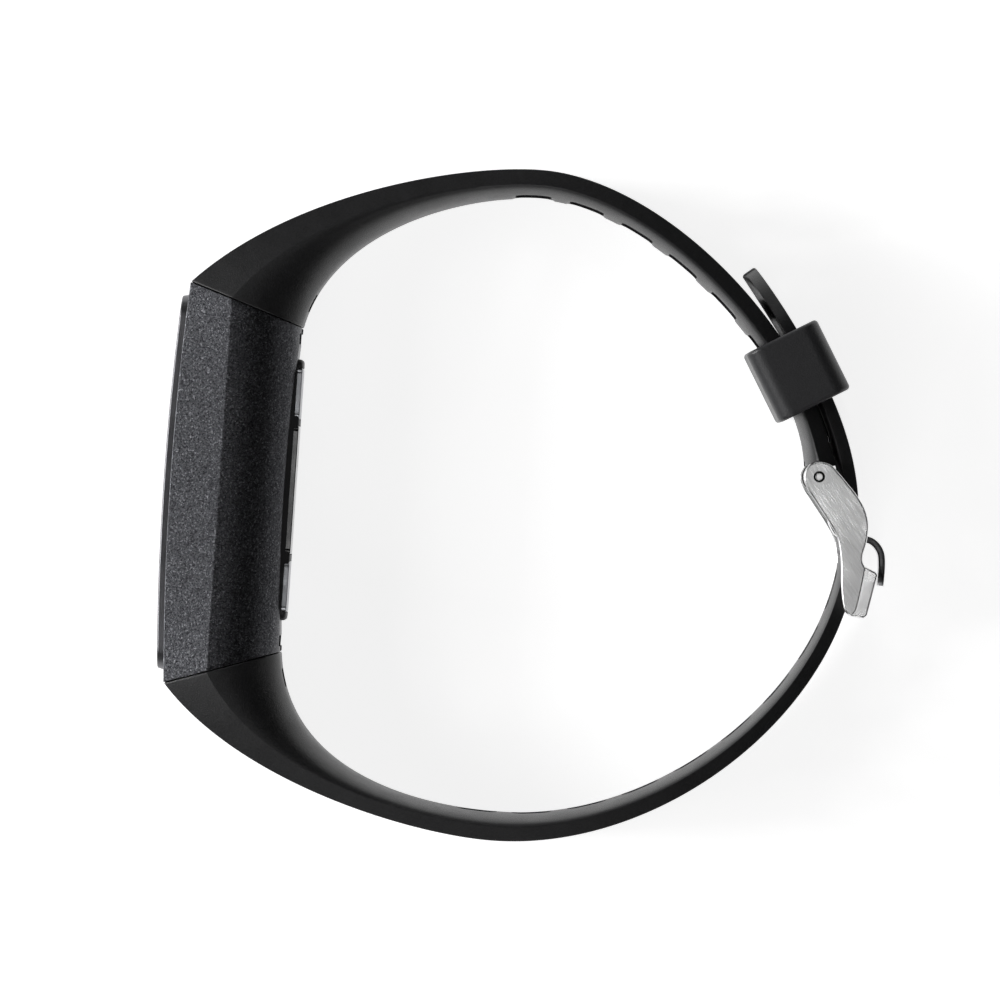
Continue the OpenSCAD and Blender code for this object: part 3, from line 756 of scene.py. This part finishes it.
def case_ring(share):
    """The case's section at a share of its slanted length, -1 at the lower end and 1 at the upper."""
    y_front, y_back = share * FRONT_HALF_L, share * BACK_HALF_L
    front, back = front_at(y_front), back_at(y_back)
    span = BACK_X - CREASE_X
    top = math.asin(min(1, (back - CREASE_X) / span))
    back_w = BACK_FLAT + (HALF_W - BACK_FLAT) * math.cos(top)
    half = [Vector((front, 0)), Vector((front, 0.5 * FACE_W))]
    half += rounded((front, 0), (front, FACE_W), (CREASE_X, HALF_W), 0.08, 3)
    half += rounded((front, FACE_W), (CREASE_X, HALF_W), (back, HALF_W), 0.10, 3)
    start = math.asin(0.1 / span)
    for k in range(1, 18):
        angle = start + (top * 0.97 - start) * k / 17
        half.append(Vector((CREASE_X + span * math.sin(angle),
                            BACK_FLAT + (HALF_W - BACK_FLAT) * math.cos(angle))))
    half += rounded(half[-1], (back, back_w), (back, 0), 0.22, 3)[1:]
    half += [Vector((back, 0.5 * back_w)), Vector((back, 0))]
    points = half + [Vector((p.x, -p.y)) for p in reversed(half[1:-1])]
    return [(p.x, share * end_at(p.x), p.y) for p in points]


def build_case():
    """The case, with its cavities, its seats and the grooves for the strap connectors."""
    shares = [-1 + 2 * k / 60 for k in range(61)]
    case = loft("case", [case_ring(share) for share in shares])
    bevel(case, 0.08, 2, angle=55)
    cutters = [
        slab("cavity", FRONT_X - 3, CAVITY_BACK_X, -CAVITY_HALF_L, CAVITY_HALF_L, CAVITY_HALF_W),
        slab("back_cavity", *BACK_CAVITY_X, -BACK_CAVITY_HALF_L, BACK_CAVITY_HALF_L, BACK_CAVITY_HALF_W),
        rounded_block("glass_seat", -45.0, GLASS_BACK_X + 0.15, GLASS_HALF_L + 0.08, GLASS_HALF_W + 0.07,
                      GLASS_CORNER + 0.05, 0.01),
        rounded_block("pad_seat", PAD_BACK_X - 0.2, OPEN_X, PAD_HALF_L + 0.02, PAD_HALF_W + 0.12,
                      PAD_CORNER + 0.02, 0.01),
    ]
    groove_front = TONGUE_FRONT_X - CUT_CLEAR
    for s in (-1, 1):
        head = slab(f"head{s}", groove_front, OPEN_X, GROOVE_Y - CUT_CLEAR, GROOVE_Y + 1 + CUT_CLEAR,
                    HEAD_W + CUT_CLEAR)
        neck = slab(f"neck{s}", groove_front, OPEN_X, GROOVE_Y, ANCHOR_Y + 2, NECK_W + CUT_CLEAR)
        nub = slab(f"nub{s}", *NUB_X, GROOVE_Y - 0.4, GROOVE_Y, NUB_HALF_W)
        cutters += [end_sign(head, s), end_sign(neck, s), end_sign(nub, s)]
    for cutter in cutters:
        combine(case, cutter, "DIFFERENCE")
    return shade(case)


def divide_sides(outline, long_parts, short_parts):
    """Adds points along a round rectangle's straight sides, so that its rings can follow a bow."""
    per_corner = len(outline) // 4
    points = []
    for i, here in enumerate(outline):
        points.append(here)
        if (i + 1) % per_corner:
            continue
        leg = outline[(i + 1) % len(outline)] - here
        parts = long_parts if abs(leg.x) > abs(leg.y) else short_parts
        points.extend(here + leg * (k / parts) for k in range(1, parts))
    return points


def build_glass():
    """Concentric round rectangles that follow the bowed front, with a ground, slanted side."""
    slant, rim = 0.18, 0.2

    def outline_at(inset):
        outline = round_rectangle(GLASS_HALF_L - inset, GLASS_HALF_W - inset, GLASS_CORNER - inset, steps=10)
        return divide_sides(outline, 20, 4)

    def ring_at(inset, lift):
        return [(front_at(p[0]) - lift, p[0], p[1]) for p in outline_at(inset)]

    back_edge = 0.05
    rings = []
    for inset in (back_edge, 0.0):
        rings.append([(GLASS_BACK_X - (back_edge - inset), p[0], p[1]) for p in outline_at(inset)])
    rings.append(ring_at(slant, GLASS_PROUD - rim))
    for k in range(1, 5):
        angle = math.pi / 2 * k / 4
        lift = GLASS_PROUD - rim * (1 - math.sin(angle))
        rings.append(ring_at(slant + rim * (1 - math.cos(angle)), lift))
    outline = outline_at(slant + rim)
    for scale in (0.85, 0.65, 0.45, 0.25, 0.08):
        rings.append([(front_at(p[0] * scale) - GLASS_PROUD, p[0] * scale, p[1] * scale) for p in outline])
    return shade(loft("glass", rings), 25)


def build_sensor_base():
    """The raised back, with a pocket for the window and one for each contact."""
    base = rounded_block("sensor_back", PAD_BACK_X, PAD_FACE_X, PAD_HALF_L, PAD_HALF_W, PAD_CORNER, 0.3)
    pockets = [("window_pocket", WINDOW_HALF_L, 0.0)]
    for s in (-1, 1):
        pockets.append((f"contact_pocket{s}", CONTACT_HALF_L, s * CONTACT_Y))
    for name, half_l, y in pockets:
        pocket = rounded_block(name, PAD_FACE_X - INLAY_T, OPEN_X, half_l + INLAY_GAP,
                               INLAY_W + INLAY_GAP, INLAY_CORNER, 0.01, y=y)
        combine(base, pocket, "DIFFERENCE")
    return shade(base)


def build_tracker():
    finish_piece(build_case(), "tracker", ["case_shell"], case_metal)
    glass = finish_piece(build_glass(), "tracker", ["cover_glass"], cover_gloss)
    glass.data.materials.append(ground_edge)
    for polygon in glass.data.polygons:
        if abs(polygon.normal.x) < 0.6:
            polygon.material_index = 1
    finish_piece(build_sensor_base(), "tracker", ["sensor_base"], base_plastic)
    window = rounded_block("window", PAD_FACE_X - INLAY_T, PAD_FACE_X, WINDOW_HALF_L, INLAY_W, 0.6, 0.1)
    finish_piece(shade(window, 50), "tracker", ["sensor_window"], window_gloss)
    pads = [rounded_block(f"contact{s}", PAD_FACE_X - INLAY_T, PAD_FACE_X, CONTACT_HALF_L, INLAY_W, 0.6, 0.1,
                          y=s * CONTACT_Y) for s in (-1, 1)]
    contacts = shade(merge("contacts", pads), 50)
    finish_piece(contacts, "tracker", ["contact_pads"], contact_metal)


# ======================= Keeper =======================
def build_keeper():
    """A sleeve with a round-cornered wall, skinned around its perimeter."""
    def skin(inside, outside, half_w, radius):
        middle = Vector(((inside + outside) / 2, 0))
        return [p + middle for p in round_rectangle((outside - inside) / 2, half_w, radius, steps=10)]

    turn = Matrix.Rotation(KEEPER_TURN, 2)
    outer = skin(KEEPER_IN, KEEPER_OUT, HALF_W, KEEPER_R)
    inner = skin(KEEPER_HOLE_IN, KEEPER_HOLE_OUT, KEEPER_HOLE_W, KEEPER_HOLE_R)
    half = KEEPER_L / 2
    edge, lip = 0.4, 0.22
    rings = []
    for a, b in zip(outer, inner):
        wall = (b - a).length
        section = []
        for s in (-1, 1):
            for k in range(6):
                angle = math.pi / 2 * (k / 5 if s > 0 else 1 - k / 5)
                section.append((edge * (1 - math.cos(angle)), s * (half - edge * (1 - math.sin(angle)))))
        # The inner rim runs back the other way
        for s in (1, -1):
            for k in range(5):
                angle = math.pi / 2 * (1 - k / 4 if s > 0 else k / 4)
                section.append((wall - lip * (1 - math.cos(angle)),
                                s * (half - lip * (1 - math.sin(angle)))))
        ring = []
        for depth, along in section:
            p = a.lerp(b, depth / wall)
            spot = Vector(KEEPER_AT) + turn @ Vector((p.x, along))
            ring.append((spot.x, spot.y, p.y))
        rings.append(ring)
    return shade(loft("keeper_sleeve", rings, closed=True), 45)


# ======================= Buckle =======================
PLATE_OUTLINE = [(28.02, 5.0), (28.45, 3.75), (29.4, 2.45), (31.15, 0.1), (31.95, -1.35), (32.4, -3.6),
                 (32.55, -5.6), (32.8, -7.4), (33.15, -8.5), (33.75, -8.85), (34.3, -8.4), (34.7, -6.2),
                 (34.95, -4.2), (34.62, -3.35), (34.6, -2.55), (34.88, -1.3), (34.95, 0.4), (34.5, 1.95),
                 (33.7, 3.2), (32.6, 4.45), (31.05, 6.05), (30.3, 6.45), (29.5, 6.58), (28.55, 6.2)]
BLOCK_OUTLINE = [(33.3, -8.6), (33.9, -9.05), (35.1, -9.1), (35.45, -8.75), (36.25, -4.65), (36.0, -4.3),
                 (34.95, -3.85), (34.3, -4.6)]
TANG_LINE = [(29.9, 4.0), (31.05, 2.0), (31.45, 0.4), (32.35, -0.75), (34.2, -0.95), (35.6, -1.2),
             (36.5, -2.1), (36.8, -3.4), (36.8, -5.7)]


def plate(name, outline, z0, z1, edge, steps=4):
    """A flat plate whose rim is rounded on both faces."""
    count = len(outline)
    normals = []
    for i in range(count):
        leg = (outline[(i + 1) % count] - outline[i - 1]).normalized()
        normals.append(Vector((leg.y, -leg.x)))
    area = sum(a.x * b.y - b.x * a.y for a, b in zip(outline, outline[1:] + outline[:1]))
    sign = 1 if area > 0 else -1
    rings = []
    for side in (-1, 1):
        for k in range(steps + 1):
            angle = math.pi / 2 * (k / steps if side < 0 else 1 - k / steps)
            inset, rise = edge * (1 - math.sin(angle)), edge * (1 - math.cos(angle))
            z = z0 + rise if side < 0 else z1 - rise
            rings.append([(p.x - sign * n.x * inset, p.y - sign * n.y * inset, z)
                          for p, n in zip(outline, normals)])
    return loft(name, rings)


def rod(name, radius, z0, z1, steps):
    """A round cutter on the pin's axis."""
    return lathe(name, [(0.0, z0), (radius, z0), (radius, z1), (0.0, z1)], PIN_AT, steps)


def polish_rim(obj):
    """Faces that don't lie flat across Z take the polished material."""
    obj.data.materials.append(rim_steel)
    for polygon in obj.data.polygons:
        if abs(polygon.normal.z) < 0.8:
            polygon.material_index = len(obj.data.materials) - 1


def paint_dimple_shade(obj):
    """The faces inside the two pin dimples take the dark material, which is painted shade for the deep
    dimples.
    """
    obj.data.materials.append(dimple_painted_shade)
    for polygon in obj.data.polygons:
        near = math.hypot(polygon.center.x - PIN_AT[0] * MM, polygon.center.y - PIN_AT[1] * MM)
        if near < (DIMPLE_R + 0.02) * MM:
            polygon.material_index = len(obj.data.materials) - 1


def build_buckle():
    """Two side plates with a dimple at each pin end, and the bar that joins them."""
    parts = []
    outline = through(PLATE_OUTLINE, 6, closed=True)
    block = through(BLOCK_OUTLINE, 1, closed=True)
    for s in (-1, 1):
        z0, z1 = sorted((s * PLATE_IN, s * PLATE_OUT))
        side = plate(f"plate{s}", outline, z0, z1, 0.2)
        combine(side, rod("bore", PIN_HOLE_R, z0 - 1, z1 + 1, 32), "DIFFERENCE")
        low, high = sorted((s * (PLATE_OUT + 0.3), s * (PLATE_OUT - DIMPLE_T)))
        combine(side, rod("dimple", DIMPLE_R, low, high, 40), "DIFFERENCE")
        parts.append(side)
    bar_end = PLATE_OUT - 0.04
    bar = plate("bar", block, -bar_end, bar_end, 0.22)
    # The satin material goes into the second slot below
    for polygon in bar.data.polygons:
        polygon.material_index = 1
    parts.append(bar)
    buckle = shade(merge("buckle", parts), 30)
    finish_piece(buckle, "buckle", ["buckle_frame"], buckle_steel)
    buckle.data.materials.append(satin_steel)
    polish_rim(buckle)
    # The dimples are painted dark: painted shade inside the recesses
    paint_dimple_shade(buckle)


def build_tang():
    """A bent blade with a ring that turns on the pin."""
    line = through(TANG_LINE, 8)
    rings = []
    for i, here in enumerate(line):
        leg = (line[min(i + 1, len(line) - 1)] - line[max(i - 1, 0)]).normalized()
        side = Vector((-leg.y, leg.x))
        narrow = 1.0 if i < len(line) - 8 else 1 - 0.25 * ((i - len(line) + 9) / 8) ** 2
        section = round_rectangle(TANG_T / 2, TANG_W / 2 * narrow, 0.16, steps=4)
        rings.append([((here + side * p.x).x, (here + side * p.x).y, p.y) for p in section])
    blade = loft("tang", rings)
    half = TANG_W / 2
    edge = 0.15
    top = [(0.0, half), (TANG_RING_R - edge, half), (TANG_RING_R, half - edge)]
    combine(blade, lathe("tang_ring", [(r, -z) for r, z in top] + top[::-1], PIN_AT, 40), "UNION")
    combine(blade, rod("bore", TANG_BORE_R, -half - 1, half + 1, 36), "DIFFERENCE")
    shade(blade, 35)
    finish_piece(blade, "tang", ["buckle_tang"], tang_steel)
    polish_rim(blade)


def build_pin():
    """A stepped pin, whose thin tips end just inside the plates' dimples."""
    tip = PLATE_OUT - 0.1
    top = [(0.0, tip), (PIN_TIP_R - 0.02, tip), (PIN_TIP_R, tip - 0.06), (PIN_TIP_R, STRAP_END_W),
           (PIN_R, STRAP_END_W)]
    pin = shade(lathe("pin", [(r, -z) for r, z in top] + top[::-1], PIN_AT, 40), 40)
    finish_piece(pin, "band", ["buckle_pin"], pin_steel)


def build_buttons():
    """The release buttons: a round-cornered cap, a stem, and a foot that presses the spring."""
    for s, name in ((1, "upper"), (-1, "lower")):
        cap = rounded_block(name + "_cap", BUTTON_BACK_X, BUTTON_FACE_X, BUTTON_HALF_L, BUTTON_HALF_W,
                            0.7, 0.2, y=BUTTON_Y)
        stem = slab(name + "_stem", STEM_X, BUTTON_BACK_X + 0.02, BUTTON_Y - 0.4, BUTTON_Y + 0.4,
                    STEM_HALF_W)
        foot = slab(name + "_foot", STEM_X, STEM_X + 0.3, BUTTON_Y - 0.7, BUTTON_Y + 0.7, STEM_HALF_W)
        button = merge(name + "_button", [cap, stem, foot])
        shade(end_sign(button, s), 45)
        finish_piece(button, name + "_latch", [name + "_latch_button"], base_plastic)


# ======================= Carried-over CAD nodes =======================
def build_inner_materials():
    """Dresses the inner nodes, which keep their CAD meshes."""
    plain = {
        "seal_foam": moulded("seal_foam", (0.02, 0.02, 0.02), (0.06, 0.06, 0.06), grain=0.2, depth=0.03),
        "display_black": glassy("display_black", (0.006, 0.006, 0.01), (0.02, 0.02, 0.03)),
        "filled_plastic": moulded("filled_plastic", (0.08, 0.08, 0.085), (0.2, 0.2, 0.21), grain=0.25),
        "solder_mask": moulded("solder_mask", (0.008, 0.06, 0.025), (0.02, 0.14, 0.06), rough=(0.25, 0.4)),
        "chip_case": moulded("chip_case", (0.012, 0.012, 0.012), (0.04, 0.04, 0.04)),
        "amber_film": glassy("amber_film", (0.3, 0.12, 0.02), (0.55, 0.26, 0.05), rough=(0.2, 0.35)),
        "cell_foil": moulded("cell_foil", (0.4, 0.4, 0.41), (0.66, 0.66, 0.67), grain=0.8, depth=0.03,
                             rough=(0.25, 0.4), metal=1.0),
        "plated_strip": moulded("plated_strip", (0.5, 0.33, 0.12), (0.8, 0.58, 0.25), metal=1.0),
        "plain_steel": brushed("plain_steel", (0.4, 0.4, 0.41), (0.66, 0.66, 0.67), 0.0, along=2.0),
        "clear_lens": glassy("clear_lens", (0.4, 0.6, 0.45), (0.6, 0.8, 0.65), rough=(0.08, 0.16)),
    }
    wearers = {
        "seal_foam": ["display_adhesive", "back_gasket"],
        "display_black": ["display_panel"],
        "filled_plastic": ["midframe", "upper_connector", "lower_connector"],
        "solder_mask": ["main_board", "sensor_board"],
        "chip_case": ["board_chips"],
        "amber_film": ["display_flex", "battery_lead"],
        "cell_foil": ["battery"],
        "plated_strip": ["antenna"],
        "plain_steel": ["frame_screws", "motor_can", "motor_rotor", "upper_latch_spring",
                        "lower_latch_spring"],
        "clear_lens": ["sensor_diodes"],
    }
    for name, nodes in wearers.items():
        for node in nodes:
            obj = frame["nodes"][node]
            if not obj.material_slots:
                obj.data.materials.append(plain[name])
            for material_slot in obj.material_slots:
                material_slot.material = plain[name]


# ======================= Studio =======================
def area_light(name, at, aim, size, power):
    """A square light that faces its aim."""
    light = bpy.data.lights.new(name, "AREA")
    light.shape = "RECTANGLE"
    light.size, light.size_y = size, size
    light.energy = power
    obj = bpy.data.objects.new(name, light)
    bpy.context.scene.collection.objects.link(obj)
    obj.location = at
    obj.rotation_euler = (Vector(aim) - Vector(at)).to_track_quat("-Z", "Y").to_euler()
    return obj


# The lengths of the floor and the lights are in metres
FLOOR_HALF = 3.0
FLOOR_DROP = 0.00002
FLOOR_GLOW = 0.82
SURROUND_GLOW = 0.01
LIGHT_AWAY = 0.8
LIGHT_SIZE = 0.3
# A small light straight above, which the flat steel reflects towards the camera
OVERHEAD_SIZE = 0.12
OVERHEAD_POWER = 0.2
# Each light's name, its angle around Z and its angle down from straight above, in degrees, and its watts.
# Most of the light comes in low from the display side
STUDIO_LIGHTS = [
    ("key", 180, 68, 4.8),
    ("key_low", 165, 82, 1.6),
    ("key_high", 190, 48, 0.9),
    ("near", 270, 62, 1.0),
    ("far", 90, 60, 0.5),
    ("right", 0, 80, 0.3),
]


def build_studio():
    """A pale paper floor that glows a little, the lights and a faint surround."""
    corners = [(-1, -1), (1, -1), (1, 1), (-1, 1)]
    mesh = bpy.data.meshes.new("floor")
    mesh.from_pydata([(a * FLOOR_HALF, b * FLOOR_HALF, -FLOOR_DROP) for a, b in corners], [], [(0, 1, 2, 3)])
    floor = bpy.data.objects.new("floor", mesh)
    bpy.context.scene.collection.objects.link(floor)
    m = Nodes("floor_paper")
    m.set(Specular_IOR_Level=0.1)
    paper = m.noise(4.0, detail=3)
    m.set(Emission_Color=(1, 1, 1, 1), Emission_Strength=FLOOR_GLOW)
    mesh.materials.append(m.use(Base_Color=m.blend(paper, (0.68, 0.68, 0.68), (0.72, 0.72, 0.72)),
                                Roughness=m.range(paper, 0.3, 0.7, 0.85, 0.95)))

    for name, around, from_top, power in STUDIO_LIGHTS:
        turn, tilt = math.radians(around), math.radians(from_top)
        aim = Vector((0, 0, 0.009))
        away = Vector((math.sin(tilt) * math.cos(turn), math.sin(tilt) * math.sin(turn), math.cos(tilt)))
        area_light(name, aim + away * LIGHT_AWAY, aim, LIGHT_SIZE, power)
    area_light("overhead", (0, 0, LIGHT_AWAY), (0, 0, 0), OVERHEAD_SIZE, OVERHEAD_POWER)

    surround = bpy.data.worlds.new("surround")
    surround.use_nodes = True
    background = surround.node_tree.nodes["Background"]
    background.inputs["Color"].default_value = (1, 1, 1, 1)
    background.inputs["Strength"].default_value = SURROUND_GLOW
    bpy.context.scene.world = surround
    bpy.context.scene.view_settings.view_transform = "Standard"


# The camera's place and its aim are in millimetres, measured from the surface that the band lies on
CAMERA_ROLL = math.radians(3.9)
CAMERA_EYE = (-2.21, -0.05, 1268.5)
CAMERA_AIM = (-2.75, 0.42, 18.5)
CAMERA_LENS = 441.0


def build_camera():
    """Looks down on the near side. The tracker lies a few degrees off upright in the picture."""
    roll = CAMERA_ROLL
    eye = Vector(CAMERA_EYE) * MM
    aim = Vector(CAMERA_AIM) * MM
    ahead = (aim - eye).normalized()
    up = Vector((-math.sin(roll), math.cos(roll), 0))
    right = ahead.cross(up).normalized()
    up = right.cross(ahead)
    camera = bpy.data.cameras.new("camera")
    camera.sensor_width = 36.0
    camera.lens = CAMERA_LENS
    camera.clip_start = 0.01
    obj = bpy.data.objects.new("camera", camera)
    bpy.context.scene.collection.objects.link(obj)
    axes = Matrix((right, up, -ahead)).transposed()
    obj.matrix_world = Matrix.Translation(eye) @ axes.to_4x4()
    bpy.context.scene.camera = obj


# ======================= Put together =======================
build_tracker()
finish_piece(build_upper_strap(), "band", ["upper_strap"], strap_rubber)
finish_piece(build_lower_strap(), "band", ["lower_strap"], strap_rubber)
finish_piece(build_keeper(), "keeper", ["keeper_loop"], keeper_rubber)
build_buckle()
build_tang()
build_pin()
build_buttons()
build_inner_materials()
build_studio()
build_camera()
